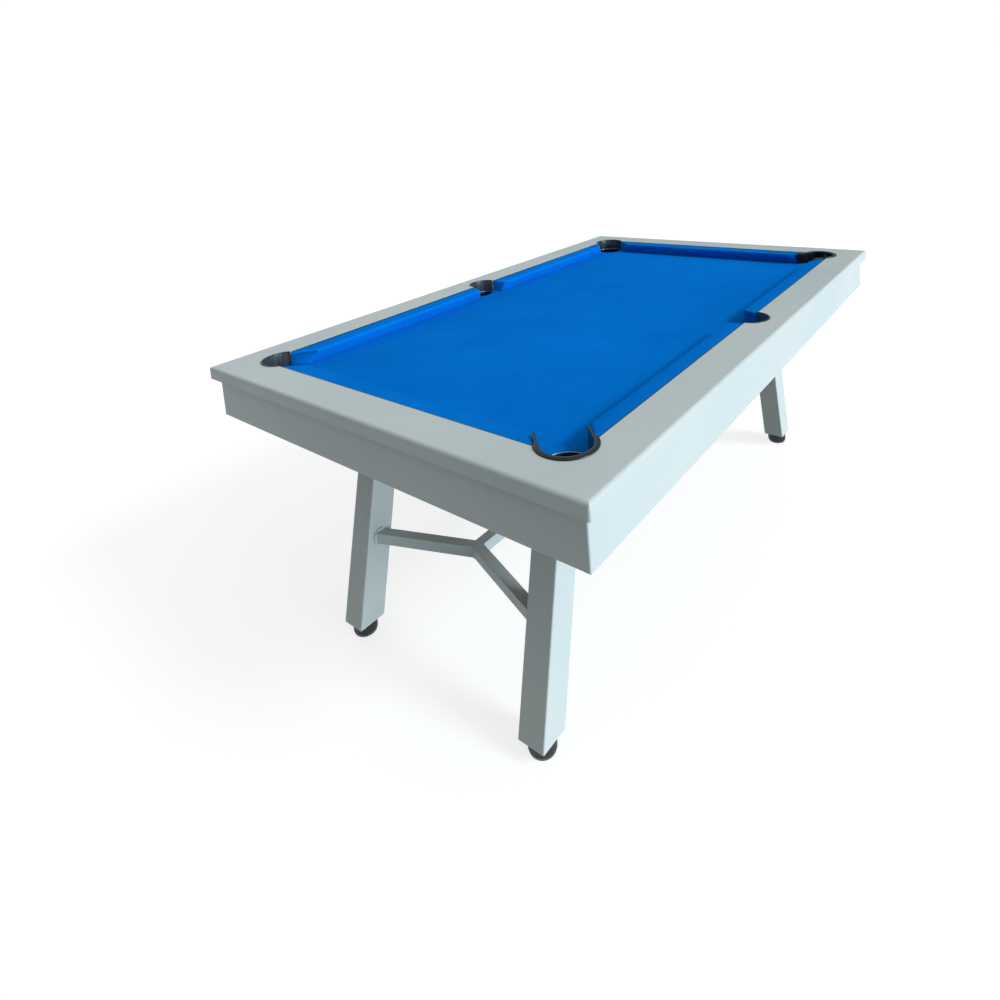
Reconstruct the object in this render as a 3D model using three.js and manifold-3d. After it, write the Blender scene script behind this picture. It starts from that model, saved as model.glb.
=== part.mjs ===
// A small pool table: steel rails and aprons round a cloth-covered bed, six pockets, four leaning
// legs joined by a stretcher, and a levelling foot under each leg.
// Millimetres, +Z up. +X runs along the table, +Y across it, and the origin is on the floor below
// the table's centre.
import * as THREE from "three";
import { mergeVertices } from "three/addons/utils/BufferGeometryUtils.js";
import Module from "manifold-3d";

const wasm = await Module();
wasm.setup();

// Driving dimensions.
const gap = 0.3; // between pieces that touch
const table = { length: 2005, width: 1225, height: 780, cornerRadius: 6 };
const rail = { width: 101.3, lip: 32, wall: 2.5, edgeRadius: 9, innerRadius: 1.5, stepIn: 50 };
const apron = { inset: 18.6, bottom: 640, sheet: 3, topFlange: 28, bottomFlange: 25, bendRadius: 4 };
const cloth = { top: 740, thickness: 1.2 };
const bed = { thickness: 18.6 };
const beam = { height: 50, wall: 2.5, endWidth: 80, midWidth: 50, midX: 222 };
const cushion = { groove: 1, depth: 47.2, backTop: 778, noseTop: 776.2, noseBottom: 768.5, undercut: 11 };
const cushionEnd = { fromCorner: 186, sideBack: 58, sideNose: 62, noseRadius: 7 };
const cornerPocket = { inset: 140, cutRadius: 58, holeInset: 137, holeRadius: 54, linerSweep: 186 };
const sidePocket = { inset: 107, cutRadius: 54, holeInset: 90, holeX: 50.5, holeY: 34, linerSweep: 166 };
const liner = { wall: 3 };
const collar = { cornerReach: 204, sideReach: 150, sideHalf: 67, flange: 10, flangeThickness: 3 };
const cup = { floorZ: 646, wall: 2.5, floor: 3 };
const lip = { innerRadius: 51, flangeRadius: 66, hornOuter: 58.9, hornLength: 58, proud: 4.5, shoulder: 9 };
const foot = { x: 810, y: 310, padRadius: 33, padHeight: 32, socketDepth: 20 };
const stem = { radius: 8, clearance: 0.4, length: 98, segments: 20 };
const leg = { sectionX: 82, sectionY: 72, wall: 2.5, radius: 4, bottom: 38, lean: 0.239, endPlate: 6 };
const legPlate = { x: 80, y: 160, thickness: 6, boltX: 22, boltY: 58, boltRadius: 9, boltHead: 6.5 };
const stretcher = { size: 30, wall: 2, centreZ: 266, apexX: 653, bendRadius: 40 };
const flange = { radius: 23, thickness: 4 };

// Heights and places worked out from them.
const railBottom = table.height - rail.lip;
const bedTop = cloth.top - cloth.thickness - gap;
const bedBottom = bedTop - bed.thickness;
const beamTop = bedBottom - gap;
const plateTop = beamTop - beam.height - gap;
const legTop = plateTop - legPlate.thickness - gap;
const legTopX = foot.x - leg.lean * (legTop - leg.bottom);
const apronDepth = Math.max(apron.topFlange, apron.bottomFlange) + 1;
const bayHalfX = table.length / 2 - apron.inset - apron.sheet - gap;
const bayHalfY = table.width / 2 - apron.inset - apron.sheet - gap;

const paint = new THREE.MeshStandardMaterial({ color: "#b9c2c4", roughness: 0.45, metalness: 0.1 });
const blueCloth = new THREE.MeshStandardMaterial({ color: "#0a5cc6", roughness: 0.95, metalness: 0 });
const board = new THREE.MeshStandardMaterial({ color: "#8d7a63", roughness: 0.8, metalness: 0 });
const pocketPlastic = new THREE.MeshStandardMaterial({ color: "#1b1d1f", roughness: 0.3, metalness: 0 });
const blackRubber = new THREE.MeshStandardMaterial({ color: "#17181a", roughness: 0.6, metalness: 0 });
const zinc = new THREE.MeshStandardMaterial({ color: "#a9adb0", roughness: 0.35, metalness: 0.9 });

const model = new THREE.Group();

// Adds a named mesh, turned about Z and then moved.
function add(name, geometry, material, x = 0, y = 0, angle = 0) {
  const mesh = new THREE.Mesh(geometry, material);
  mesh.name = name;
  mesh.position.set(x, y, 0);
  mesh.rotation.z = angle;
  model.add(mesh);
}

// A closed geometry as a solid that can be cut and joined.
function solid(geometry) {
  const bare = geometry.index ? geometry.toNonIndexed() : geometry.clone();
  bare.deleteAttribute("normal");
  bare.deleteAttribute("uv");
  const merged = mergeVertices(bare, 1e-4);
  const vertProperties = merged.attributes.position.array;
  const triVerts = new Uint32Array(merged.index.array);
  return new wasm.Manifold(new wasm.Mesh({ numProp: 3, vertProperties, triVerts }));
}

// A solid back as a geometry with flat faces.
function geometryOf(body) {
  const mesh = body.getMesh();
  const geometry = new THREE.BufferGeometry();
  geometry.setAttribute("position", new THREE.BufferAttribute(mesh.vertProperties, 3));
  geometry.setIndex(new THREE.BufferAttribute(mesh.triVerts, 1));
  const flat = geometry.toNonIndexed();
  flat.computeVertexNormals();
  return flat;
}

// A plan shape, drawn in X and Y, from one height to another.
function upright(shape, fromZ, toZ, curveSegments = 8) {
  const depth = toZ - fromZ;
  const block = new THREE.ExtrudeGeometry(shape, { depth, bevelEnabled: false, curveSegments });
  return block.translate(0, 0, fromZ);
}

// A cross-section drawn in distance from the table's edge and height, run along X for a length.
function alongX(shape, length, curveSegments = 4) {
  const run = new THREE.ExtrudeGeometry(shape, { depth: length, bevelEnabled: false, curveSegments });
  return run.translate(0, 0, -length / 2).rotateX(Math.PI / 2).rotateZ(Math.PI / 2);
}

function polygon(points) {
  return new THREE.Shape(points.map(([x, y]) => new THREE.Vector2(x, y)));
}

function rectangle(fromX, toX, fromY, toY) {
  return polygon([[fromX, fromY], [toX, fromY], [toX, toY], [fromX, toY]]);
}

function roundedRectangle(sizeX, sizeY, radius) {
  const x = sizeX / 2;
  const y = sizeY / 2;
  const shape = new THREE.Shape();
  shape.absarc(x - radius, y - radius, radius, 0, Math.PI / 2);
  shape.absarc(radius - x, y - radius, radius, Math.PI / 2, Math.PI);
  shape.absarc(radius - x, radius - y, radius, Math.PI, 1.5 * Math.PI);
  shape.absarc(x - radius, radius - y, radius, 1.5 * Math.PI, 2 * Math.PI);
  return shape;
}

function uprightCylinder(radius, fromZ, toZ, x, y, segments = 48) {
  const height = toZ - fromZ;
  const geometry = new THREE.CylinderGeometry(radius, radius, height, segments).rotateX(Math.PI / 2);
  return geometry.translate(x, y, fromZ + height / 2);
}

// The four sides of the table. Each is drawn with X along it, Y inwards from its outer edge, and
// its middle at the origin.
const sides = [
  { name: "front", length: table.length, across: table.width, angle: 0 },
  { name: "right", length: table.width, across: table.length, angle: Math.PI / 2 },
  { name: "back", length: table.length, across: table.width, angle: Math.PI },
  { name: "left", length: table.width, across: table.length, angle: -Math.PI / 2 },
];

// The table's four corners, with the signs of their X and Y.
const corners = [
  ["front_left", -1, -1],
  ["front_right", 1, -1],
  ["back_right", 1, 1],
  ["back_left", -1, 1],
];

function addToSide(name, side, geometry, material) {
  const x = (side.across / 2) * Math.sin(side.angle);
  const y = (-side.across / 2) * Math.cos(side.angle);
  add(name, geometry, material, x, y, side.angle);
}

// The plan of one side between its two mitres, from the outer edge to a depth, as a tall block.
// The table's outline, set in by an inset, rounds its outer corners.
function mitredBlock(side, depth, inset, radius) {
  const half = side.length / 2 - gap * Math.SQRT1_2;
  const mitre = polygon([[-half, 0], [half, 0], [half - depth, depth], [depth - half, depth]]);
  const outline = roundedRectangle(side.length - 2 * inset, side.across - 2 * inset, radius);
  const outlineBlock = upright(outline, 0, table.height + 1, 3).translate(0, side.across / 2, 0);
  return solid(upright(mitre, 0, table.height + 1)).intersect(solid(outlineBlock));
}

// The rail's section: a box with a rounded outer edge, and a deeper inner part that stands on the
// bed. It is drawn with Y as height, and inset leaves the wall's thickness all round.
function railSection(inset) {
  const outer = rail.edgeRadius - inset;
  const edge = Math.max(rail.innerRadius - inset, 0.4);
  const low = cloth.top + gap + inset;
  const step = railBottom + inset;
  const top = table.height - inset;
  const inner = rail.width - inset;
  const shape = new THREE.Shape();
  shape.moveTo(inset, step);
  shape.lineTo(rail.stepIn + inset, step);
  shape.lineTo(rail.stepIn + inset, low);
  shape.lineTo(inner, low);
  shape.absarc(inner - edge, top - edge, edge, 0, Math.PI / 2);
  shape.absarc(inset + outer, top - outer, outer, Math.PI / 2, Math.PI);
  return shape;
}

function pocketCutter(side) {
  const cornerX = side.length / 2 - cornerPocket.inset;
  const tall = [0, table.height + 1];
  const corner = (x) => solid(uprightCylinder(cornerPocket.cutRadius, ...tall, x, cornerPocket.inset));
  const corners = corner(-cornerX).add(corner(cornerX));
  if (side.length < side.across) return corners;
  return corners.add(solid(uprightCylinder(sidePocket.cutRadius, ...tall, 0, sidePocket.inset)));
}

function addRails() {
  for (const side of sides) {
    const outer = solid(alongX(railSection(0), side.length));
    const inner = solid(alongX(railSection(rail.wall), side.length + 2, 2));
    const block = mitredBlock(side, rail.width, 0, table.cornerRadius);
    const made = outer.subtract(inner).intersect(block).subtract(pocketCutter(side));
    addToSide(`rail_${side.name}`, side, geometryOf(made), paint);
  }
}

// The apron's section: a folded channel, open inwards.
function apronSection() {
  const { inset, bottom, sheet, topFlange, bottomFlange, bendRadius } = apron;
  const top = railBottom - gap;
  const shape = new THREE.Shape();
  shape.moveTo(inset + topFlange, top);
  shape.lineTo(inset, top);
  shape.absarc(inset + bendRadius, bottom + bendRadius, bendRadius, Math.PI, 1.5 * Math.PI);
  shape.lineTo(inset + bottomFlange, bottom);
  shape.lineTo(inset + bottomFlange, bottom + sheet);
  shape.lineTo(inset + sheet, bottom + sheet);
  shape.lineTo(inset + sheet, top - sheet);
  shape.lineTo(inset + topFlange, top - sheet);
  return shape;
}

function addAprons() {
  for (const side of sides) {
    const block = mitredBlock(side, apron.inset + apronDepth, apron.inset, apron.bendRadius);
    const made = solid(alongX(apronSection(), side.length)).intersect(block);
    addToSide(`apron_${side.name}`, side, geometryOf(made), paint);
  }
}

// The centres of the six pockets, with the direction in which each one opens onto the bed.
function pocketPlaces(cornerInset, sideInset) {
  const x = table.length / 2 - cornerInset;
  const y = table.width / 2 - cornerInset;
  const sideY = table.width / 2 - sideInset;
  return [
    { name: "front_left", x: -x, y: -y, turn: -0.25 * Math.PI, corner: true },
    { name: "front_middle", x: 0, y: -sideY, turn: 0, corner: false },
    { name: "front_right", x, y: -y, turn: 0.25 * Math.PI, corner: true },
    { name: "back_right", x, y, turn: 0.75 * Math.PI, corner: true },
    { name: "back_middle", x: 0, y: sideY, turn: Math.PI, corner: false },
    { name: "back_left", x: -x, y, turn: 1.25 * Math.PI, corner: true },
  ];
}

const holePlaces = pocketPlaces(cornerPocket.holeInset, sidePocket.holeInset);

function holeRadii(place) {
  const { holeRadius } = cornerPocket;
  return place.corner ? [holeRadius, holeRadius] : [sidePocket.holeX, sidePocket.holeY];
}

// The plan of the collar that fills a cut-out in the bed panel round a ball hole. It reaches in from
// the bay's edges, and grow widens it towards the panel.
function collarPlan(place, grow) {
  const signX = place.x < 0 ? -1 : 1;
  const signY = place.y < 0 ? -1 : 1;
  const reach = place.corner ? collar.cornerReach : collar.sideReach;
  const innerY = table.width / 2 - reach - grow;
  const halfX = collar.sideHalf + grow;
  const [fromX, toX] = place.corner ? [table.length / 2 - reach - grow, bayHalfX] : [-halfX, halfX];
  return rectangle(signX * fromX, signX * toX, signY * innerY, signY * bayHalfY);
}

// The bed fills the bay between the aprons: a panel cut out for the pockets' collars, and a cloth
// over panel and collars with the six ball holes.
function addBed() {
  const bay = () => rectangle(-bayHalfX, bayHalfX, -bayHalfY, bayHalfY);
  let panel = solid(upright(bay(), bedBottom, bedTop));
  const sheet = bay();
  for (const place of holePlaces) {
    panel = panel.subtract(solid(upright(collarPlan(place, gap), bedBottom - 1, bedTop + 1)));
    const hole = new THREE.Path().absellipse(place.x, place.y, ...holeRadii(place), 0, 2 * Math.PI, true);
    sheet.holes.push(hole);
  }
  add("bed_panel", geometryOf(panel), board);
  add("bed_cloth", upright(sheet, cloth.top - cloth.thickness, cloth.top, 12), blueCloth);
}

// A cushion's section: flat-backed, with its top falling to the nose and its face cut under.
function cushionSection() {
  const back = rail.width + cushion.groove;
  const nose = back + cushion.depth;
  const base = cloth.top + gap;
  return polygon([
    [back, base],
    [nose - cushion.undercut, base],
    [nose - 1, cushion.noseBottom - 1.5],
    [nose, cushion.noseBottom],
    [nose, cushion.noseTop - 3],
    [nose - 1, cushion.noseTop - 1],
    [nose - 3, cushion.noseTop],
    [back, cushion.backTop],
  ]);
}

// A cushion's plan between two ends, each given at the back edge and at the nose.
function cushionBlock(startBack, startNose, endNose, endBack) {
  const back = rail.width + cushion.groove;
  const nose = back + cushion.depth;
  const soft = cushionEnd.noseRadius;
  const shape = new THREE.Shape();
  shape.moveTo(startBack, back - 1);
  shape.lineTo(endBack, back - 1);
  shape.lineTo(endNose + soft * slopeOf(endNose, endBack), nose - soft);
  shape.quadraticCurveTo(endNose, nose, endNose - soft, nose + 0.5);
  shape.lineTo(startNose + soft, nose + 0.5);
  shape.quadraticCurveTo(startNose, nose, startNose + soft * slopeOf(startNose, startBack), nose - soft);
  return solid(upright(shape, 0, table.height, 4));
}

function slopeOf(nose, back) {
  return (back - nose) / cushion.depth;
}

function addCushion(name, side, startBack, startNose, endNose, endBack) {
  const section = solid(alongX(cushionSection(), side.length));
  const made = section.intersect(cushionBlock(startBack, startNose, endNose, endBack));
  addToSide(name, side, geometryOf(made), blueCloth);
}

function addCushions() {
  const { fromCorner, sideBack, sideNose } = cushionEnd;
  for (const side of sides) {
    const cornerBack = side.length / 2 - fromCorner;
    const cornerNose = cornerBack - cushion.depth;
    if (side.length < side.across) {
      addCushion(`cushion_${side.name}`, side, -cornerBack, -cornerNose, cornerNose, cornerBack);
      continue;
    }
    const [first, second] = side.name === "front" ? ["left", "right"] : ["right", "left"];
    addCushion(`cushion_${side.name}_${first}`, side, -cornerBack, -cornerNose, -sideNose, -sideBack);
    addCushion(`cushion_${side.name}_${second}`, side, sideBack, sideNose, cornerNose, cornerBack);
  }
}

// A pocket's liner: a curved wall in the rail's cut, open towards the bed, which is at +Y.
function linerGeometry(cutRadius, sweepDegrees) {
  const outer = cutRadius - gap;
  const half = THREE.MathUtils.degToRad(sweepDegrees / 2);
  const shape = new THREE.Shape();
  shape.absarc(0, 0, outer, -Math.PI / 2 - half, -Math.PI / 2 + half);
  shape.absarc(0, 0, outer - liner.wall, -Math.PI / 2 + half, -Math.PI / 2 - half, true);
  return upright(shape, cloth.top + gap, table.height - gap, 12);
}

// A pocket's cup: a collar let into the bed panel, with a flange under the panel's edge and a bucket
// hanging from it. The ball hole runs through the collar into the bucket.
function cupGeometry(place) {
  const [radiusX, radiusY] = holeRadii(place);
  const flangeTop = bedBottom - gap;
  const flangeBottom = flangeTop - collar.flangeThickness;
  const outer = radiusX + cup.wall;
  const bucketProfile = [
    [0, cup.floorZ],
    [outer - 6, cup.floorZ],
    [outer - 1, cup.floorZ + 5],
    [outer, flangeBottom + 1],
    [0, flangeBottom + 1],
  ];
  const holeProfile = [
    [0, cup.floorZ + cup.floor],
    [radiusX - 5, cup.floorZ + cup.floor],
    [radiusX - 1, cup.floorZ + 7],
    [radiusX, flangeBottom],
    [radiusX, bedTop + 1],
    [0, bedTop + 1],
  ];
  const turned = (profile) => {
    const points = profile.map(([radius, z]) => new THREE.Vector2(radius, z));
    const round = new THREE.LatheGeometry(points, 24).rotateX(Math.PI / 2);
    return solid(round.scale(1, radiusY / radiusX, 1).translate(place.x, place.y, 0));
  };
  const block = solid(upright(collarPlan(place, 0), flangeTop - 1, bedTop));
  const plate = solid(upright(collarPlan(place, collar.flange), flangeBottom, flangeTop));
  return geometryOf(block.add(plate).add(turned(bucketProfile)).subtract(turned(holeProfile)));
}

function addPockets() {
  for (const place of pocketPlaces(cornerPocket.inset, sidePocket.inset)) {
    const kind = place.corner ? cornerPocket : sidePocket;
    const wall = linerGeometry(kind.cutRadius, kind.linerSweep);
    add(`pocket_liner_${place.name}`, wall, pocketPlastic, place.x, place.y, place.turn);
  }
  for (const place of holePlaces) add(`pocket_cup_${place.name}`, cupGeometry(place), pocketPlastic);
}

// The raised rubber lip of a corner pocket: a flange on the rail round the pocket's mouth, and a
// horn down each cushion's end. The bed is at +Y.
function lipGeometry() {
  const { innerRadius, flangeRadius, hornOuter, hornLength, proud, shoulder } = lip;
  const flat = new THREE.Shape();
  flat.moveTo(hornOuter, hornLength);
  flat.lineTo(innerRadius, hornLength);
  flat.absarc(0, 0, innerRadius, 0, Math.PI, true);
  flat.lineTo(-innerRadius, hornLength);
  flat.lineTo(-hornOuter, hornLength);
  flat.lineTo(-hornOuter, shoulder);
  flat.absarc(0, 0, flangeRadius, Math.PI, 2 * Math.PI);
  flat.lineTo(hornOuter, shoulder);
  const flangeFrom = table.height + gap;
  const horn = (from, to) => rectangle(from, to, shoulder, hornLength);
  const hornRange = [cloth.top + gap, flangeFrom + 1];
  const left = solid(upright(horn(-hornOuter, -innerRadius), ...hornRange));
  const right = solid(upright(horn(innerRadius, hornOuter), ...hornRange));
  return geometryOf(solid(upright(flat, flangeFrom, table.height + proud, 12)).add(left).add(right));
}

function addLips() {
  for (const place of pocketPlaces(cornerPocket.inset, sidePocket.inset)) {
    if (!place.name.startsWith("front") || !place.corner) continue;
    add(`pocket_lip_${place.name}`, lipGeometry(), blackRubber, place.x, place.y, place.turn);
  }
}

// A square or oblong tube along Y under the bed, from apron to apron.
function beamGeometry(width) {
  const length = 2 * bayHalfY;
  const tube = new THREE.BoxGeometry(width, length, beam.height);
  const bore = new THREE.BoxGeometry(width - 2 * beam.wall, length + 2, beam.height - 2 * beam.wall);
  return geometryOf(solid(tube).subtract(solid(bore))).translate(0, 0, beamTop - beam.height / 2);
}

function addBeams() {
  add("cross_beam_end_left", beamGeometry(beam.endWidth), paint, -legTopX);
  add("cross_beam_mid_left", beamGeometry(beam.midWidth), paint, -beam.midX);
  add("cross_beam_mid_right", beamGeometry(beam.midWidth), paint, beam.midX);
  add("cross_beam_end_right", beamGeometry(beam.endWidth), paint, legTopX);
}

// A leg: a box tube with level ends that leans towards -X as it rises. Its end plate takes the
// foot's stem, which stands at the origin.
function legGeometry() {
  const { sectionX, sectionY, wall, radius, bottom, lean, endPlate } = leg;
  const tube = upright(roundedRectangle(sectionX, sectionY, radius), bottom, legTop, 3);
  const boreSection = roundedRectangle(sectionX - 2 * wall, sectionY - 2 * wall, radius - wall);
  const bore = upright(boreSection, bottom + endPlate, legTop + 1, 3);
  const leaning = new THREE.Matrix4().set(1, 0, -lean, lean * bottom, 0, 1, 0, 0, 0, 0, 1, 0, 0, 0, 0, 1);
  const hollow = solid(tube.applyMatrix4(leaning)).subtract(solid(bore.applyMatrix4(leaning)));
  const holeRadius = stem.radius + stem.clearance;
  const stemHole = uprightCylinder(holeRadius, 0, bottom + endPlate + 1, 0, 0, stem.segments);
  return geometryOf(hollow.subtract(solid(stemHole)));
}

// The plate on a leg's top, with four bolt heads under it.
function legPlateGeometry() {
  const { x, y, thickness, boltX, boltY, boltRadius, boltHead } = legPlate;
  const bottom = plateTop - thickness;
  let made = solid(upright(roundedRectangle(x, y, 4), bottom, plateTop, 3));
  for (const [sx, sy] of [[1, 1], [-1, 1], [-1, -1], [1, -1]]) {
    const head = uprightCylinder(boltRadius, bottom - boltHead, bottom + 1, sx * boltX, sy * boltY, 6);
    made = made.add(solid(head));
  }
  return geometryOf(made);
}

// A foot's pad: a grip as wide as the leg, with a slightly narrower sole and a socket for the stem.
function padGeometry() {
  const { padRadius, padHeight, socketDepth } = foot;
  const socket = stem.radius + gap;
  const profile = [
    [0, 0],
    [padRadius - 5, 0],
    [padRadius - 2, 2],
    [padRadius, 9],
    [padRadius, padHeight - 4],
    [padRadius - 3, padHeight],
    [socket, padHeight],
    [socket, padHeight - socketDepth],
    [0, padHeight - socketDepth],
  ].map(([radius, z]) => new THREE.Vector2(radius, z));
  return new THREE.LatheGeometry(profile, 24).rotateX(Math.PI / 2);
}

function addLegs() {
  const stemFrom = foot.padHeight - foot.socketDepth + gap;
  for (const [name, sx, sy] of corners) {
    const turn = sx > 0 ? 0 : Math.PI;
    const stemGeometry = uprightCylinder(stem.radius, stemFrom, stemFrom + stem.length, 0, 0, stem.segments);
    add(`leg_${name}`, legGeometry(), paint, sx * foot.x, sy * foot.y, turn);
    add(`leg_plate_${name}`, legPlateGeometry(), paint, sx * legTopX, sy * foot.y);
    add(`foot_stem_${name}`, stemGeometry, zinc, sx * foot.x, sy * foot.y);
    add(`foot_pad_${name}`, padGeometry(), blackRubber, sx * foot.x, sy * foot.y);
  }
}

// The stretcher's ends: where a tube meets the leg's inner face, and the flange between them.
const legInnerY = foot.y - leg.sectionY / 2;
const veeEndX = foot.x - leg.lean * (stretcher.centreZ - leg.bottom);
const veeEndY = legInnerY - flange.thickness - 2 * gap;
const veeAngle = Math.atan2(veeEndX - stretcher.apexX, legInnerY);
const bendX = stretcher.apexX + stretcher.bendRadius / Math.cos(veeAngle);

// The plan of the bent tube between two legs, its bend towards the table's centre, from one side
// of its centreline to the other and out to an end.
function veePlan(halfWidth, endY) {
  const across = new THREE.Vector2(-Math.cos(veeAngle), Math.sin(veeAngle));
  const outer = stretcher.bendRadius + halfWidth;
  const inner = stretcher.bendRadius - halfWidth;
  const endX = (radius) => bendX + radius * across.x + (endY - radius * across.y) * Math.tan(veeAngle);
  const from = Math.PI - veeAngle;
  const to = Math.PI + veeAngle;
  const shape = new THREE.Shape();
  shape.moveTo(endX(inner), endY);
  shape.lineTo(endX(outer), endY);
  shape.absarc(bendX, 0, outer, from, to);
  shape.lineTo(endX(outer), -endY);
  shape.lineTo(endX(inner), -endY);
  shape.absarc(bendX, 0, inner, to, from, true);
  return shape;
}

function veeGeometry() {
  const { size, wall, centreZ } = stretcher;
  const bore = size / 2 - wall;
  const tube = upright(veePlan(size / 2, veeEndY), centreZ - size / 2, centreZ + size / 2);
  const hollow = upright(veePlan(bore, veeEndY + 5), centreZ - bore, centreZ + bore);
  return geometryOf(solid(tube).subtract(solid(hollow)));
}

// The bar between the two bent tubes, its ends shaped to their bends.
function barGeometry() {
  const { size, wall, centreZ, bendRadius } = stretcher;
  const bend = bendRadius + size / 2 + gap;
  const reach = 2 * (bendX - bend + size / 4);
  const tube = new THREE.BoxGeometry(reach, size, size).translate(0, 0, centreZ);
  const bore = new THREE.BoxGeometry(reach + 2, size - 2 * wall, size - 2 * wall).translate(0, 0, centreZ);
  const end = (x) => solid(uprightCylinder(bend, centreZ - size, centreZ + size, x, 0));
  return geometryOf(solid(tube).subtract(solid(bore)).subtract(end(bendX)).subtract(end(-bendX)));
}

function addStretcher() {
  add("stretcher_vee_right", veeGeometry(), paint);
  add("stretcher_vee_left", veeGeometry(), paint, 0, 0, Math.PI);
  add("stretcher_bar", barGeometry(), paint);
  const flangeY = legInnerY - gap - flange.thickness / 2;
  for (const [name, sx, sy] of corners) {
    const disc = new THREE.CylinderGeometry(flange.radius, flange.radius, flange.thickness, 24);
    disc.translate(0, 0, stretcher.centreZ);
    add(`stretcher_flange_${name}`, disc, paint, sx * veeEndX, sy * flangeY);
  }
}

addRails();
addAprons();
addBed();
addCushions();
addPockets();
addLips();
addBeams();
addLegs();
addStretcher();

export default model;
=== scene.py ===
"""A small pool table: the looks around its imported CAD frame, in metres.

+X runs along the table and +Y across it. The front side is at -Y and the left end at -X.
"""

import math

import bmesh
import bpy
from mathutils import Matrix, Vector, noise
from mathutils.geometry import delaunay_2d_cdt


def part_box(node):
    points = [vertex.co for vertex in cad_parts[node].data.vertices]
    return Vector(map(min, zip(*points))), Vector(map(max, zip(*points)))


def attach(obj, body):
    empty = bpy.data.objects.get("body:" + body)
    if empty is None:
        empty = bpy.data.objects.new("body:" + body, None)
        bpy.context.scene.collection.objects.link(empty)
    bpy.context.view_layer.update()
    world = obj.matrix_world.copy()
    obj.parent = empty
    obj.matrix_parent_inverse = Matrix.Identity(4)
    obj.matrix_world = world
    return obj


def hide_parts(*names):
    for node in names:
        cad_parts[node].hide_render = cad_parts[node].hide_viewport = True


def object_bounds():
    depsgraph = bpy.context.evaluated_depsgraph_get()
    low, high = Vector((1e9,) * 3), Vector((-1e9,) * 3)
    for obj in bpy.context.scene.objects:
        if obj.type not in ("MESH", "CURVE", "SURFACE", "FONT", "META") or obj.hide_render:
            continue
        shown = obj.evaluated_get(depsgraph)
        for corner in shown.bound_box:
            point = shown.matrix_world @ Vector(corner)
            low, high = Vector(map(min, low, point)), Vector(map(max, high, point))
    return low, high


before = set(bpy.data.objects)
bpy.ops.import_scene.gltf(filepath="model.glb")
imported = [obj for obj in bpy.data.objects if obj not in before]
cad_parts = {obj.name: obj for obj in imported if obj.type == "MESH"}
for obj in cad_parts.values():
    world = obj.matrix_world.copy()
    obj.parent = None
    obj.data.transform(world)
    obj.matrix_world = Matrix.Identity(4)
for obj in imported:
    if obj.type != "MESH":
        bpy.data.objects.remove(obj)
cad_low, cad_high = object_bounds()

MM = 0.001
LENGTH = cad_high.x - cad_low.x
WIDTH = cad_high.y - cad_low.y
CLOTH_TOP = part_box("bed_cloth")[1].z
RAIL_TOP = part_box("rail_back")[1].z
SIX = ["front_left", "front_middle", "front_right", "back_right", "back_middle", "back_left"]
CORNERS = ["front_left", "front_right", "back_right", "back_left"]
POCKET_TURNS = dict(zip(SIX, (-45, 0, 45, 135, 180, 225)))  # degrees, with the bed at local +Y
SIDE_TURNS = {"front": 0, "right": 90, "back": 180, "left": -90}  # the same, for a whole side
SIGNS = {"front": -1, "back": 1, "left": -1, "middle": 0, "right": 1}
WHITE = (1.0, 1.0, 1.0, 1.0)
BLACK = (0.0, 0.0, 0.0, 1.0)


# ---------------------------------------------------------------- node trees

MIX_FACTOR, MIX_FIRST, MIX_SECOND, MIX_COLOUR = 0, 6, 7, 2  # sockets of a Mix node for colours


class Nodes:
    """Short ways to add nodes to a tree."""

    def __init__(self, tree):
        self.tree = tree

    def node(self, kind, settings=None, **inputs):
        """A new node. The names of its inputs are written with _ for a space."""
        made = self.tree.nodes.new(kind)
        for name, value in (settings or {}).items():
            setattr(made, name, value)
        for name, value in inputs.items():
            self.put(value, made.inputs[name.replace("_", " ")])
        return made

    def put(self, value, socket):
        """Links another node's output to an input, or sets a plain value on it."""
        if isinstance(value, bpy.types.NodeSocket):
            self.tree.links.new(value, socket)
        else:
            socket.default_value = value

    def ramp(self, value, low, high, to_low=0.0, to_high=1.0, shape="LINEAR"):
        """A value's range from low to high, mapped on another range."""
        made = self.node("ShaderNodeMapRange", {"interpolation_type": shape})
        for socket, number in zip(made.inputs, (value, low, high, to_low, to_high)):
            self.put(number, socket)
        return made.outputs["Result"]

    def mix(self, factor, first, second):
        """A blend of two colours, each an output or (red, green, blue)."""
        made = self.node("ShaderNodeMix", {"data_type": "RGBA"})
        self.put(factor, made.inputs[MIX_FACTOR])
        for colour, index in ((first, MIX_FIRST), (second, MIX_SECOND)):
            linked = isinstance(colour, bpy.types.NodeSocket)
            self.put(colour if linked else (*colour, 1.0), made.inputs[index])
        return made.outputs[MIX_COLOUR]

    def maths(self, operation, first, second=0.0):
        made = self.node("ShaderNodeMath", {"operation": operation})
        self.put(first, made.inputs[0])
        self.put(second, made.inputs[1])
        return made.outputs[0]


# ---------------------------------------------------------------- materials

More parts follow.
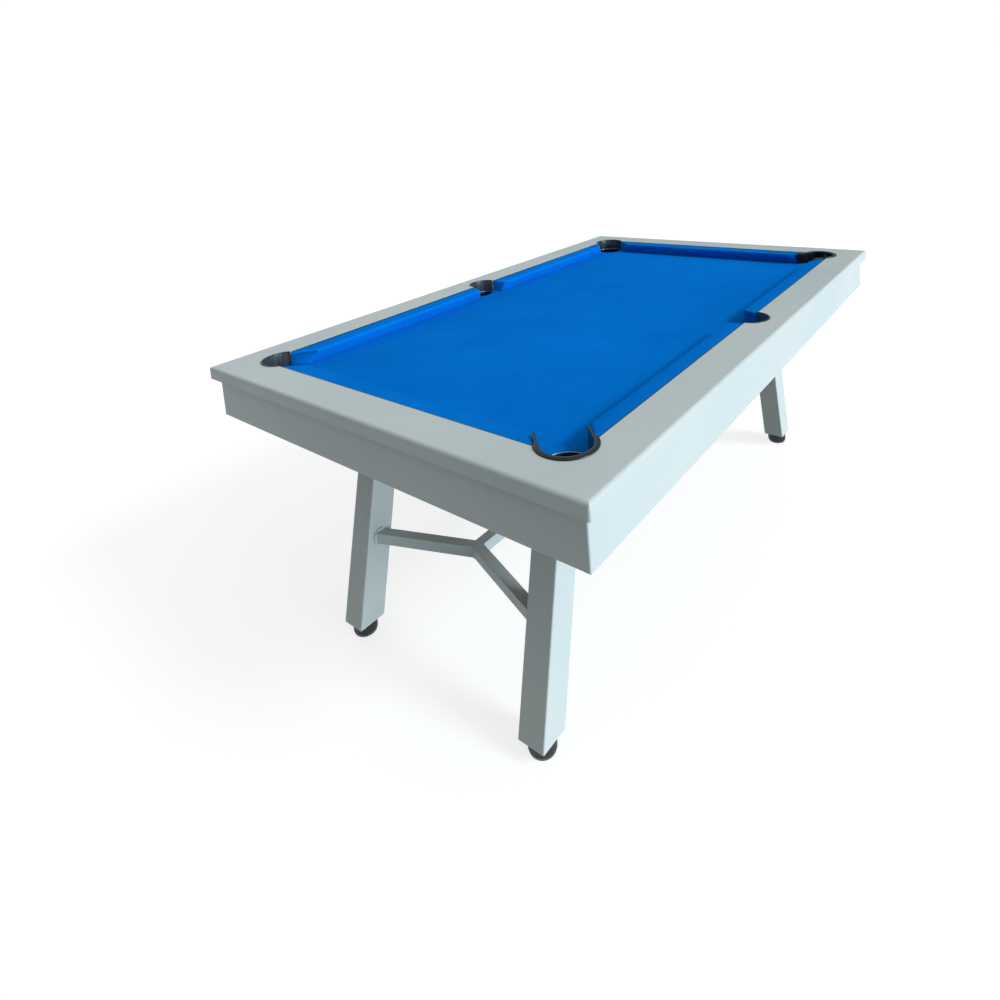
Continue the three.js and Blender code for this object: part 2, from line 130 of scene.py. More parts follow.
class Shader(Nodes):
    """A material with a Principled shader, whose own sockets can be set by name."""

    def __init__(self, name, **sockets):
        self.material = bpy.data.materials.new(name)
        self.material.use_nodes = True
        super().__init__(self.material.node_tree)
        self.bsdf = self.tree.nodes["Principled BSDF"]
        for socket, value in sockets.items():
            self.bsdf.inputs[socket.replace("_", " ")].default_value = value
        self.place = self.node("ShaderNodeTexCoord").outputs["Object"]

    def noise(self, scale, detail=3.0, roughness=0.5, stretch=None):
        """A noise in the object's own space. A stretch is how fast it varies on each axis."""
        at = self.place
        if stretch is not None:
            at = self.node("ShaderNodeMapping", Vector=at, Scale=stretch).outputs["Vector"]
        return self.node("ShaderNodeTexNoise", Vector=at, Scale=scale, Detail=detail,
                         Roughness=roughness).outputs["Fac"]

    def colour(self, value):
        self.put(value, self.bsdf.inputs["Base Color"])

    def rough(self, value):
        self.put(value, self.bsdf.inputs["Roughness"])

    def bump(self, *layers):
        """Layers of (height, strength, depth in metres), the first one lowest."""
        normal = None
        for height, strength, depth in layers:
            made = self.node("ShaderNodeBump", Height=height, Strength=strength, Distance=depth)
            if normal is not None:
                self.put(normal, made.inputs["Normal"])
            normal = made.outputs["Normal"]
        self.put(normal, self.bsdf.inputs["Normal"])


def powder_coat():
    """Light grey powder coat: fine orange peel, and a faint unevenness in tone and gloss."""
    s = Shader("light_grey_powder_coat", Specular_IOR_Level=0.5)
    broad = s.noise(2.3, 4.0)
    fine = s.noise(420.0, 2.0)
    tone = s.mix(s.ramp(broad, 0.35, 0.65), (0.475, 0.53, 0.54), (0.525, 0.56, 0.55))
    s.colour(s.mix(s.ramp(fine, 0.3, 0.75, 0.0, 0.25), tone, (0.44, 0.49, 0.495)))
    s.rough(s.ramp(s.noise(9.0, 5.0), 0.3, 0.7, 0.36, 0.46))
    s.bump((s.noise(260.0, 3.0), 0.12, 0.0004), (s.noise(1500.0, 2.0), 0.08, 0.0002))
    return s.material


def pool_cloth():
    """Napped blue pool cloth: a fine two-way weave, loose fibres and a faint mottle."""
    s = Shader("blue_pool_cloth", Specular_IOR_Level=0.0, Sheen_Weight=0.05, Sheen_Roughness=0.5,
               Sheen_Tint=(0.05, 0.35, 1.0, 1.0))
    mottle = s.noise(5.0, 5.0, 0.6)
    fibre = s.noise(520.0, 4.0, 0.7, (1.0, 2.2, 1.0))
    base = s.mix(s.ramp(mottle, 0.3, 0.7), (0.0004, 0.136, 0.52), (0.0008, 0.162, 0.60))
    s.colour(s.mix(s.ramp(fibre, 0.35, 0.75, 0.0, 0.35), base, (0.001, 0.195, 0.70)))
    s.rough(s.ramp(fibre, 0.2, 0.8, 0.78, 0.95))
    weave = [s.node("ShaderNodeTexWave", {"wave_type": "BANDS", "bands_direction": axis},
                    Vector=s.place, Scale=300.0, Distortion=1.2, Detail=1.0).outputs["Fac"]
             for axis in ("X", "Y", "Z")]
    threads = s.maths("MULTIPLY", s.maths("MULTIPLY", weave[0], weave[1]), weave[2])
    s.bump((threads, 0.18, 0.0003), (fibre, 0.22, 0.0004), (s.noise(60.0, 3.0), 0.05, 0.0008))
    return s.material


def bed_board():
    """Sanded fibre board with a fine speckle of fibres."""
    s = Shader("bed_fibre_board", Specular_IOR_Level=0.3)
    speckle = s.noise(700.0, 4.0, 0.75, (1.0, 0.35, 1.0))
    base = s.mix(s.ramp(s.noise(7.0, 6.0), 0.35, 0.65),
                 (0.25, 0.165, 0.092), (0.33, 0.225, 0.135))
    s.colour(s.mix(s.ramp(speckle, 0.35, 0.75, 0.0, 0.6), base, (0.13, 0.08, 0.045)))
    s.rough(s.ramp(speckle, 0.3, 0.7, 0.66, 0.86))
    s.bump((speckle, 0.3, 0.0004))
    return s.material


def moulded_plastic(name, dark, light, smooth, dull, specular, metallic):
    """Moulded plastic with faint flow marks down its walls and a fine spark-eroded grain."""
    s = Shader(name, Specular_IOR_Level=specular, Metallic=metallic)
    flow = s.noise(70.0, 4.0, 0.6, (1.0, 1.0, 0.18))
    s.colour(s.mix(s.ramp(flow, 0.3, 0.72), dark, light))
    s.rough(s.ramp(flow, 0.25, 0.75, smooth, dull))
    s.bump((s.noise(1100.0, 2.0), 0.10, 0.0002), (flow, 0.06, 0.0006))
    return s.material


def satin_rubber():
    """Black moulded rubber: satin, with a fine grain and a little dust."""
    s = Shader("black_satin_rubber", Specular_IOR_Level=0.5)
    grain = s.noise(1300.0, 3.0, 0.6)
    dust = s.noise(38.0, 6.0, 0.65)
    s.colour(s.mix(s.ramp(dust, 0.42, 0.8, 0.0, 0.4),
                   (0.006, 0.0085, 0.0085), (0.018, 0.023, 0.023)))
    s.rough(s.ramp(dust, 0.3, 0.75, 0.2, 0.34))
    s.bump((grain, 0.14, 0.0002))
    return s.material


def zinc_plate():
    """Bright zinc plate with fine turning marks."""
    s = Shader("zinc_plated_steel", Metallic=1.0)
    marks = s.noise(260.0, 3.0, 0.6, (1.0, 1.0, 9.0))
    s.colour(s.mix(s.ramp(s.noise(35.0, 4.0), 0.35, 0.7), (0.55, 0.57, 0.58), (0.72, 0.73, 0.72)))
    s.rough(s.ramp(marks, 0.3, 0.7, 0.24, 0.4))
    s.bump((marks, 0.12, 0.0002))
    return s.material


def studio_floor():
    """A plain pale floor, part of its whiteness its own so that shadows stay light."""
    s = Shader("studio_floor", Specular_IOR_Level=0.0, Roughness=0.9, Emission_Strength=0.76,
               Emission_Color=WHITE)
    s.colour(s.mix(s.ramp(s.noise(0.6), 0.3, 0.7), (0.33, 0.33, 0.33), (0.34, 0.34, 0.34)))
    return s.material


def backdrop_white():
    """A plain white that lights itself."""
    return Shader("backdrop_white", Specular_IOR_Level=0.0, Base_Color=BLACK,
                  Emission_Strength=1.02, Emission_Color=WHITE).material


PAINT = powder_coat()
CLOTH = pool_cloth()
BOARD = bed_board()
LINER = moulded_plastic("grey_pocket_plastic", (0.045, 0.052, 0.058), (0.095, 0.108, 0.12),
                        smooth=0.2, dull=0.32, specular=0.8, metallic=0.4)
CUP = moulded_plastic("black_pocket_plastic", (0.006, 0.007, 0.008), (0.014, 0.015, 0.017),
                      smooth=0.3, dull=0.46, specular=0.35, metallic=0.0)
RUBBER = satin_rubber()
ZINC = zinc_plate()


# ---------------------------------------------------------------- CAD nodes that stay

SHARP = math.radians(32)  # an edge that bends more than this is rounded and stays sharp
FLAT = math.radians(0.4)  # triangles that bend less than this are one face
WELD = 0.02 * MM
MITRE = 0.2 * MM  # how near a corner's mitre plane an edge is left unrounded

EDGE = 0.9 * MM  # widths of the rounded edges
SHEET_EDGE = 0.7 * MM
FLANGE_EDGE = 0.8 * MM
TUBE_EDGE = 1.4 * MM
BOARD_EDGE = 0.5 * MM


def node_group(name, build):
    """A group that passes its geometry through the nodes that build adds."""
    group = bpy.data.node_groups.new(name, "GeometryNodeTree")
    for way in ("INPUT", "OUTPUT"):
        group.interface.new_socket("Geometry", in_out=way, socket_type="NodeSocketGeometry")
    g = Nodes(group)
    start, end = g.node("NodeGroupInput"), g.node("NodeGroupOutput")
    g.put(build(g, start.outputs[0]), end.inputs[0])
    return group


def welded(g, geometry):
    """One connected skin from separate triangles, without their stored normals."""
    bare = g.node("GeometryNodeRemoveAttribute", Geometry=geometry, Name="custom_normal")
    merge = g.node("GeometryNodeMergeByDistance", Geometry=bare.outputs["Geometry"],
                   Distance=WELD)
    return merge.outputs["Geometry"]


def sharp_edges(g):
    bend = g.node("GeometryNodeInputMeshEdgeAngle").outputs["Unsigned Angle"]
    return g.maths("GREATER_THAN", bend, SHARP)


def smooth_by_angle(g, geometry):
    """Smooth faces, with the sharp edges kept sharp."""
    faces = g.node("GeometryNodeSetShadeSmooth", {"domain": "FACE"}, Geometry=geometry)
    edges = g.node("GeometryNodeSetShadeSmooth", {"domain": "EDGE"}, Shade_Smooth=False,
                   Geometry=faces.outputs["Geometry"], Selection=sharp_edges(g))
    return edges.outputs["Geometry"]


def bevel_weights(g, geometry):
    """Marks the edges to round: the sharp ones that don't lie in a corner's mitre plane."""
    position = g.node("GeometryNodeInputPosition").outputs["Position"]
    x, y, _ = g.node("ShaderNodeSeparateXYZ", Vector=position).outputs
    across = g.maths("SUBTRACT", g.maths("ABSOLUTE", x), g.maths("ABSOLUTE", y))
    from_mitre = g.maths("ABSOLUTE", g.maths("SUBTRACT", across, (LENGTH - WIDTH) / 2))
    weight = g.maths("MULTIPLY", g.maths("GREATER_THAN", from_mitre, MITRE), sharp_edges(g))
    store = g.node("GeometryNodeStoreNamedAttribute", {"data_type": "FLOAT", "domain": "EDGE"},
                   Geometry=geometry, Name="bevel_weight_edge", Value=weight)
    return store.outputs["Geometry"]


WELDED = node_group("weld_skin", welded)
WEIGHTED = node_group("bevel_weights", bevel_weights)
SMOOTHED = node_group("smooth_by_angle", smooth_by_angle)


def finish_cad(node, material, bevel):
    """Gives a CAD node its material, softly rounded edges and smooth curves."""
    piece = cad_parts[node]
    for slot in piece.material_slots:
        slot.material = material
    piece.modifiers.new("weld", "NODES").node_group = WELDED
    planar = piece.modifiers.new("planar", "DECIMATE")
    planar.decimate_type = "DISSOLVE"
    planar.angle_limit = FLAT
    piece.modifiers.new("weights", "NODES").node_group = WEIGHTED
    round_off = piece.modifiers.new("bevel", "BEVEL")
    round_off.width = bevel
    round_off.segments = 3
    round_off.limit_method = "WEIGHT"
    round_off.use_clamp_overlap = True
    piece.modifiers.new("smooth", "NODES").node_group = SMOOTHED
    piece.modifiers.new("weighted", "WEIGHTED_NORMAL").keep_sharp = True


for side in SIDE_TURNS:
    finish_cad("rail_" + side, PAINT, EDGE)
    finish_cad("apron_" + side, PAINT, SHEET_EDGE)
for place in ("end_left", "mid_left", "mid_right", "end_right"):
    finish_cad("cross_beam_" + place, PAINT, EDGE)
for corner in CORNERS:
    finish_cad("leg_" + corner, PAINT, EDGE)
    finish_cad("leg_plate_" + corner, PAINT, SHEET_EDGE)
    finish_cad("stretcher_flange_" + corner, PAINT, FLANGE_EDGE)
for node in ("stretcher_vee_left", "stretcher_vee_right", "stretcher_bar"):
    finish_cad(node, PAINT, TUBE_EDGE)
finish_cad("bed_panel", BOARD, BOARD_EDGE)
for name in SIX:
    finish_cad("pocket_cup_" + name, CUP, EDGE)


# ---------------------------------------------------------------- mesh helpers

SAME_POINT = 0.002 * MM


def add_piece(name, vertices, faces, material, replaces=(), body="table", sharp=40):
    """A named mesh on a body, smooth except where it bends more than sharp degrees."""
    mesh = bpy.data.meshes.new(name)
    mesh.from_pydata([tuple(v) for v in vertices], [], faces)
    shell = bmesh.new()
    shell.from_mesh(mesh)
    bmesh.ops.remove_doubles(shell, verts=shell.verts, dist=SAME_POINT)
    bmesh.ops.recalc_face_normals(shell, faces=shell.faces)
    shell.to_mesh(mesh)
    shell.free()
    mesh.shade_smooth()
    mesh.set_sharp_from_angle(angle=math.radians(sharp))
    piece = bpy.data.objects.new(name, mesh)
    bpy.context.scene.collection.objects.link(piece)
    mesh.materials.append(material)
    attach(piece, body)
    if replaces:
        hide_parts(*replaces)
    return piece


def rounded_outline(corners, steps):
    """A closed outline from (x, y, radius) corners, each rounded by an arc in steps."""
    outline = []
    for i, (x, y, radius) in enumerate(corners):
        here = Vector((x, y))
        before = (Vector(corners[i - 1][:2]) - here).normalized()
        after = (Vector(corners[(i + 1) % len(corners)][:2]) - here).normalized()
        half = before.angle(after) / 2
        centre = here + (before + after).normalized() * (radius / math.sin(half))
        start = here + before * (radius / math.tan(half)) - centre
        end = here + after * (radius / math.tan(half)) - centre
        sweep = start.angle_signed(end)
        for k in range(steps + 1):
            turned = start.copy()
            turned.rotate(Matrix.Rotation(-sweep * k / steps, 2))
            outline.append(centre + turned)
    return outline


def circle(count):
    """Evenly spaced angles all the way round."""
    return [2 * math.pi * k / count for k in range(count)]


def at_angle(section, angle, forward=0.0):
    """A section of (radius, z) points, turned round Z and then moved along Y."""
    return [Vector((radius * math.cos(angle), radius * math.sin(angle) + forward, z))
            for radius, z in section]


def rings_to_mesh(rings, closed=False):
    """A tube through rings of equal size: capped at its ends, or closed on itself."""
    size, count = len(rings[0]), len(rings)
    vertices = [point for ring in rings for point in ring]
    faces = []
    for i in range(count if closed else count - 1):
        for j in range(size):
            k, n = (j + 1) % size, (i + 1) % count
            faces.append((i * size + j, i * size + k, n * size + k, n * size + j))
    if not closed:
        faces.append(tuple(range(size - 1, -1, -1)))
        faces.append(tuple((count - 1) * size + j for j in range(size)))
    return vertices, faces


def lathe(segments, profile_at):
    """A turned shape round Z, from profiles of (radius, z) points that end on the axis."""
    rings = [at_angle(profile_at(angle), angle) for angle in circle(segments)]
    size = len(rings[0])
    vertices = [point for ring in rings for point in ring]
    faces = []
    for i in range(segments):
        n = (i + 1) % segments
        for j in range(size - 1):
            faces.append((i * size + j, n * size + j, n * size + j + 1, i * size + j + 1))
    return vertices, faces


def moved(vertices, x, y, degrees=0.0):
    turn = Matrix.Translation((x, y, 0)) @ Matrix.Rotation(math.radians(degrees), 4, "Z")
    return [turn @ Vector(v) for v in vertices]


def signs(name):
    """The signs of X and Y at a corner or a pocket, such as front_left."""
    side, place = name.split("_")
    return SIGNS[place], SIGNS[side]


def by_kind(name, values):
    """The first of two values for a corner pocket, the second for a side pocket."""
    return values[1] if name.endswith("middle") else values[0]


def pocket_centre(name, insets):
    """A pocket's centre, set in from the table's edges."""
    x, y = signs(name)
    inset = by_kind(name, insets)
    return x * (LENGTH / 2 - inset), y * (WIDTH / 2 - inset)


# ---------------------------------------------------------------- bed cloth

# Pairs are for the corner pockets and for the side pockets.
HOLE_INSETS = (137 * MM, 90 * MM)
CORNER_HOLE = (54 * MM, 54 * MM)  # radii along and across the table
SIDE_HOLE = (50.5 * MM, 34 * MM)
HOLE_RADII = (CORNER_HOLE, SIDE_HOLE)
HOLE_POINTS = 96
CLOTH_THICKNESS = 0.7 * MM
CLOTH_GROW = -CLOTH_THICKNESS - 0.3 * MM  # keeps the turned cloth off the hole's wall
ROLL = 2.6 * MM  # radius at which the cloth turns down into a hole
ROLL_STEPS = 5
TURNED_DOWN = 9 * MM


def hole_point(name, grow, angle, z):
    """A point on the edge of a ball hole that is grown by a distance."""
    x, y = pocket_centre(name, HOLE_INSETS)
    along, across = by_kind(name, HOLE_RADII)
    return Vector((x + (along + grow) * math.cos(angle), y + (across + grow) * math.sin(angle), z))


def hole_ring(name, grow, z):
    """A loop round a ball hole that is grown by a distance."""
    return [hole_point(name, grow, angle, z) for angle in circle(HOLE_POINTS)]


def in_hole(point, name, grow):
    """Whether a point of the plan lies in a ball hole that is grown by a distance."""
    x, y = pocket_centre(name, HOLE_INSETS)
    along, across = by_kind(name, HOLE_RADII)
    return ((point.x - x) / (along + grow)) ** 2 + ((point.y - y) / (across + grow)) ** 2 < 1


def flat_cloth(low, high):
    """Vertices and faces of the sheet between its border and the holes' turned edges."""
    border = ((low.x, low.y), (high.x, low.y), (high.x, high.y), (low.x, high.y))
    loops = [[Vector((x, y, CLOTH_TOP)) for x, y in border]]
    loops += [hole_ring(name, CLOTH_GROW + ROLL, CLOTH_TOP) for name in SIX]
    plan, edges = [], []
    for loop in loops:
        first = len(plan)
        plan += [point.xy for point in loop]
        edges += [(first + k, first + (k + 1) % len(loop)) for k in range(len(loop))]
    points, _, triangles, *_ = delaunay_2d_cdt(plan, edges, [], 0, 1e-6)
    faces = []
    for face in triangles:
        middle = sum((points[k] for k in face), Vector((0, 0))) / len(face)
        if not any(in_hole(middle, name, CLOTH_GROW + ROLL) for name in SIX):
            faces.append(tuple(face))
    return [Vector((*point, CLOTH_TOP)) for point in points], faces


def bed_cloth():
    """One sheet of cloth over the bed, turned down into the six ball holes."""
    low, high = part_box("bed_cloth")
    vertices, faces = flat_cloth(low, high)
    turns = [math.radians(90 * k / ROLL_STEPS) for k in range(ROLL_STEPS + 1)]
    rows = [(ROLL * (1 - math.sin(a)), ROLL * (1 - math.cos(a))) for a in turns]
    rows.append((0.0, TURNED_DOWN))
    for name in SIX:
        rings = [hole_ring(name, CLOTH_GROW + out, CLOTH_TOP - down) for out, down in rows]
        for row, ring in enumerate(rings):
            first = len(vertices)
            vertices += ring
            if row > 0:
                before = first - HOLE_POINTS
                for k in range(HOLE_POINTS):
                    n = (k + 1) % HOLE_POINTS
                    faces.append((before + k, before + n, first + n, first + k))
    piece = add_piece("stretched_bed_cloth", vertices, faces, CLOTH, ["bed_cloth"])
    if sum(p.normal.z * p.area for p in piece.data.polygons) < 0:
        piece.data.flip_normals()
    solid = piece.modifiers.new("thickness", "SOLIDIFY")
    solid.thickness = CLOTH_THICKNESS
    solid.offset = -1


bed_cloth()


# ---------------------------------------------------------------- cushions

CUSHION_BACK = 102.3 * MM  # distances from the table's edge
CUSHION_NOSE = 149.5 * MM
CUSHION_DEPTH = CUSHION_NOSE - CUSHION_BACK
CUSHION_HEIGHT = 38 * MM
CUSHION_END = 183.6 * MM  # from the table's corner to a cushion's back corner
END_LEAN = 4.5 * MM  # how far a facing at a corner leans out at its foot
SIDE_GAP = (54.4 * MM, 61 * MM)  # half gap at a side pocket, at the back and at the nose
CORNER_SIDE = 200 * MM  # an end further than this from a side's middle is at a corner
NOSE_TURN = 15 * MM  # radius at which a facing turns in towards the nose
NOSE_TURN_SHARE = 0.8
END_ROUND = 3.2 * MM
END_ANGLES = (22, 45, 67, 90)
RUN_STEPS = 56
CROWDING = 0.35  # how much closer the rings stand at the ends and in the middle

FOLD_REACH = 16 * MM  # how far from an end the cloth's small folds show
FOLD_RISE, FOLD_PUSH = 0.42 * MM, 0.3 * MM  # how far a fold stands up and out
TUCK_DOWN, TUCK_IN = 0.2 * MM, 0.25 * MM  # how far the cloth is drawn in at an end
SWELL = 0.16 * MM  # height of the slow waves along the top
FOLD_RATE = (95, 60)  # how fast the noise varies per metre, along the cushion and across it
SWELL_RATE = (7, 18)
STAPLED = 5 * MM  # height up to which the cloth is flat


def cushion_outline():
    """A cushion's section, in distance from the table's edge and height."""
    base = CLOTH_TOP + 0.3 * MM
    corners = [
        (CUSHION_BACK, base, 1.0 * MM),
        (CUSHION_NOSE - 11 * MM, base, 1.6 * MM),
        (CUSHION_NOSE - 0.6 * MM, CLOTH_TOP + 27.5 * MM, 2.2 * MM),
        (CUSHION_NOSE, CLOTH_TOP + 36.2 * MM, 3.0 * MM),
        (CUSHION_BACK + 14 * MM, CLOTH_TOP + 37.6 * MM, 12 * MM),
        (CUSHION_BACK, CLOTH_TOP + CUSHION_HEIGHT, 2.2 * MM),
    ]
    return rounded_outline(corners, 4)


OUTLINE = cushion_outline()


def cushion_end(pair, depth, z, way):
    """Where a cushion's end is at a depth and height, with way 1 at its start and -1 at its end.

    The pair is the end's place along the side at the cushion's back and at its nose.
    """
    back, nose = pair
    place = back + (nose - back) * (depth - CUSHION_BACK) / CUSHION_DEPTH
    over = max(0.0, depth - (CUSHION_NOSE - NOSE_TURN))
    turn = (NOSE_TURN - math.sqrt(max(0, NOSE_TURN ** 2 - over ** 2))) * NOSE_TURN_SHARE
    at_corner = abs(back) > CORNER_SIDE
    lean = END_LEAN * (1 - (z - CLOTH_TOP) / CUSHION_HEIGHT) if at_corner else 0.0
    return place + way * (turn - lean)


def cushion(name, side, start, end):
    """A cloth-covered cushion. Start and end are each a pair, as cushion_end takes."""
    degrees = SIDE_TURNS[side]
    edge = (WIDTH if side in ("front", "back") else LENGTH) / 2
    middle_d = (CUSHION_BACK + CUSHION_NOSE) / 2
    middle_z = CLOTH_TOP + CUSHION_HEIGHT / 2
    seed = len(name) * 3.7 + degrees

    rows = [("start", math.radians(a)) for a in reversed(END_ANGLES)]
    rows += [("run", k / RUN_STEPS) for k in range(RUN_STEPS + 1)]
    rows += [("end", math.radians(a)) for a in END_ANGLES]
    rings = []
    for kind, value in rows:
        ring = []
        for depth, z in OUTLINE:
            first, last = cushion_end(start, depth, z, 1), cushion_end(end, depth, z, -1)
            inset = 0.0
            if kind == "run":
                ease = value - CROWDING * math.sin(4 * math.pi * value) / (4 * math.pi)
                along = first + END_ROUND + (last - first - 2 * END_ROUND) * ease
            else:
                reach = END_ROUND * (1 - math.sin(value))
                inset = END_ROUND * (1 - math.cos(value))
                along = first + reach if kind == "start" else last - reach
            d = middle_d + (depth - middle_d) * (1 - 2 * inset / CUSHION_DEPTH)
            h = middle_z + (z - middle_z) * (1 - 2 * inset / CUSHION_HEIGHT)
            near_end = math.exp(-min(along - first, last - along) / FOLD_REACH)
            fold = noise.noise(Vector((along * FOLD_RATE[0], (d + h) * FOLD_RATE[1], seed)))
            swell = noise.noise(Vector((along * SWELL_RATE[0], d * SWELL_RATE[1], seed + 5)))
            if z > CLOTH_TOP + STAPLED:
                h += SWELL * swell + (FOLD_RISE * fold - TUCK_DOWN) * near_end
                d += (FOLD_PUSH * fold - TUCK_IN) * near_end
            ring.append(Vector((along, d - edge, h)))
        rings.append(ring)
    vertices, faces = rings_to_mesh(rings)
    piece = add_piece("cloth_" + name, moved(vertices, 0, 0, degrees), faces, CLOTH,
                      [name], sharp=60)


def groove_shade_strip(name, side, first, last):
    """A dark strip of painted shade that fills the gap between a cushion's back and the rail,
    standing in for the shadow in that groove.
    """
    edge = (WIDTH if side in ("front", "back") else LENGTH) / 2
    back, front = CUSHION_BACK - 1.6 * MM - edge, CUSHION_BACK + 1.0 * MM - edge
    left, right = first + 1 * MM, last - 1 * MM
    low, high = CLOTH_TOP + 1 * MM, RAIL_TOP - 0.6 * MM
    rings = [[(x, back, low), (x, front, low), (x, front, high), (x, back, high)]
             for x in (left, right)]
    vertices, faces = rings_to_mesh(rings)
    # The strip's dark rubber is painted shade: it stands in for the shadow in the groove behind the
    # cushion.
    add_piece("groove_shade_strip_" + name, moved(vertices, 0, 0, SIDE_TURNS[side]), faces, RUBBER)


for side in SIDE_TURNS:
    long_side = side in ("front", "back")
    back_end = (LENGTH if long_side else WIDTH) / 2 - CUSHION_END
    nose_end = back_end - CUSHION_DEPTH
    far_left, far_right = (-back_end, -nose_end), (back_end, nose_end)
    if long_side:
        gap_left, gap_right = (-SIDE_GAP[0], -SIDE_GAP[1]), SIDE_GAP
        first, second = ("left", "right") if side == "front" else ("right", "left")
        runs = [(f"{side}_{first}", far_left, gap_left), (f"{side}_{second}", gap_right, far_right)]
    else:
        runs = [(side, far_left, far_right)]
    for place, start, end in runs:
        cushion("cushion_" + place, side, start, end)
        # Each cushion gets a dark strip of painted shade in the groove behind it.
        groove_shade_strip(place, side, start[0], end[0])


# ---------------------------------------------------------------- pockets

# Pairs are for the corner pockets and for the side pockets.
LINER_INSETS = (140 * MM, 107 * MM)
LINER_RADII = (57.7 * MM, 53.7 * MM)
LINER_SWEEPS = (186, 166)  # degrees
LINER_STEPS = 120
LINER_THICKNESS = 2.9 * MM
CUT_RADII = (58 * MM, 54 * MM)  # of the rails' cuts
FLUTES = 36  # in a full turn
FLUTE_DEPTH = 0.35 * MM
RIM_END = 0.25  # share of a rim's width that is left at its ends
RIM_FADE = 6  # how fast it widens from there, in widths per length


def liner_angles(name):
    """Angles round a liner, which is open towards the bed."""
    half = math.radians(by_kind(name, LINER_SWEEPS) / 2)
    return [-math.pi / 2 - half + 2 * half * i / LINER_STEPS for i in range(LINER_STEPS + 1)]


def add_at_pocket(piece_name, name, rings, material, replaces=(), sharp=40):
    """A tube through rings, put round a pocket's centre."""
    vertices, faces = rings_to_mesh(rings)
    x, y = pocket_centre(name, LINER_INSETS)
    add_piece(piece_name + name, moved(vertices, x, y, POCKET_TURNS[name]), faces, material,
              replaces, sharp=sharp)


def pocket_wall(name):
    """A pocket's curved liner: a thin wall with shallow upright flutes on its inner face."""
    outer = by_kind(name, LINER_RADII)
    inner = outer - LINER_THICKNESS
    low, high = CLOTH_TOP + 0.4 * MM, RAIL_TOP - 0.3 * MM
    section = rounded_outline([
        (inner + 0.3 * MM, low, 0.6 * MM),
        (outer, low, 0.6 * MM),
        (outer, high, 1.1 * MM),
        (inner, high, 1.1 * MM),
    ], 4)
    rings = []
    for angle in liner_angles(name):
        flute = FLUTE_DEPTH * (0.5 + 0.5 * math.cos(angle * FLUTES))
        fluted = []
        for radius, z in section:
            on_face = radius < inner + 1.2 * MM and low + 3 * MM < z < high - 3 * MM
            fluted.append((radius + flute if on_face else radius, z))
        rings.append(at_angle(fluted, angle))
    add_at_pocket("pocket_wall_", name, rings, LINER, ["pocket_liner_" + name])


def pocket_rim(name):
    """The thin rubber edge on the rail round a pocket that has no lip, fading out at its ends."""
    cut = by_kind(name, CUT_RADII)
    rings = []
    for i, angle in enumerate(liner_angles(name)):
        taper = min(1.0, RIM_FADE * min(i, LINER_STEPS - i) / LINER_STEPS + RIM_END)
        rings.append(at_angle(rounded_outline([
            (cut - 3.0 * MM, RAIL_TOP - 3.0 * MM, 0.3 * MM),
            (cut - 2.0 * MM, RAIL_TOP - 3.0 * MM, 0.3 * MM),
            (cut - 2.0 * MM, RAIL_TOP + 0.1 * MM, 0.05 * MM),
            (cut + 2.6 * MM * taper, RAIL_TOP + 0.1 * MM, 0.4 * MM),
            (cut + 2.4 * MM * taper, RAIL_TOP + 1.3 * MM, 0.6 * MM),
            (cut - 3.0 * MM, RAIL_TOP + 1.3 * MM, 0.9 * MM),
        ], 3), angle))
    add_at_pocket("pocket_rim_", name, rings, RUBBER)


WIRE = 0.75 * MM  # radius of the ring in a ball hole
WIRE_POINTS = 10
WIRE_GROW, WIRE_DROP = -2.1 * MM, 2.2 * MM  # its place in the hole and under the cloth's top


def pocket_edge(name):
    """A thin bright ring that holds the cloth's edge in the ball hole."""
    rings = [[hole_point(name, WIRE_GROW + WIRE * math.cos(bend), angle,
                         CLOTH_TOP - WIRE_DROP + WIRE * math.sin(bend))
              for bend in circle(WIRE_POINTS)]
             for angle in circle(HOLE_POINTS)]
    vertices, faces = rings_to_mesh(rings, closed=True)
    add_piece("pocket_edge_" + name, vertices, faces, ZINC)


LIP_TOP = RAIL_TOP + 4.5 * MM
LIP_INNER = 51 * MM
LIP_OUTER = 63.5 * MM  # where it lies on the rail
HORN_OUTER = 58.6 * MM  # where it stands as a horn at a cushion's end
HORN = 58 * MM  # length of a horn
HORN_STEPS = 18
LIP_STEPS = 72
SHOULDER = 19.8 * MM  # length over which the lip narrows into a horn
HORN_DROP = 1.2 * MM
TIP = 5.5 * MM  # length and drop of a horn's rounded tip
TIP_DROP = 5 * MM
TIP_WIDTH = 0.25  # share of the width that is left at the tip
ON_RAIL, BROAD = 0.55, 0.5  # shares of the flange from which it lies on the rail and is broad


def lip_path():
    """Pairs of an angle and a distance along Y: down one horn, round the pocket, up the other."""
    path = [(math.pi, HORN * (1 - k / HORN_STEPS)) for k in range(HORN_STEPS + 1)]
    path += [(math.pi + math.pi * k / LIP_STEPS, 0.0) for k in range(1, LIP_STEPS + 1)]
    path += [(2 * math.pi, HORN * k / HORN_STEPS) for k in range(1, HORN_STEPS + 1)]
    return path


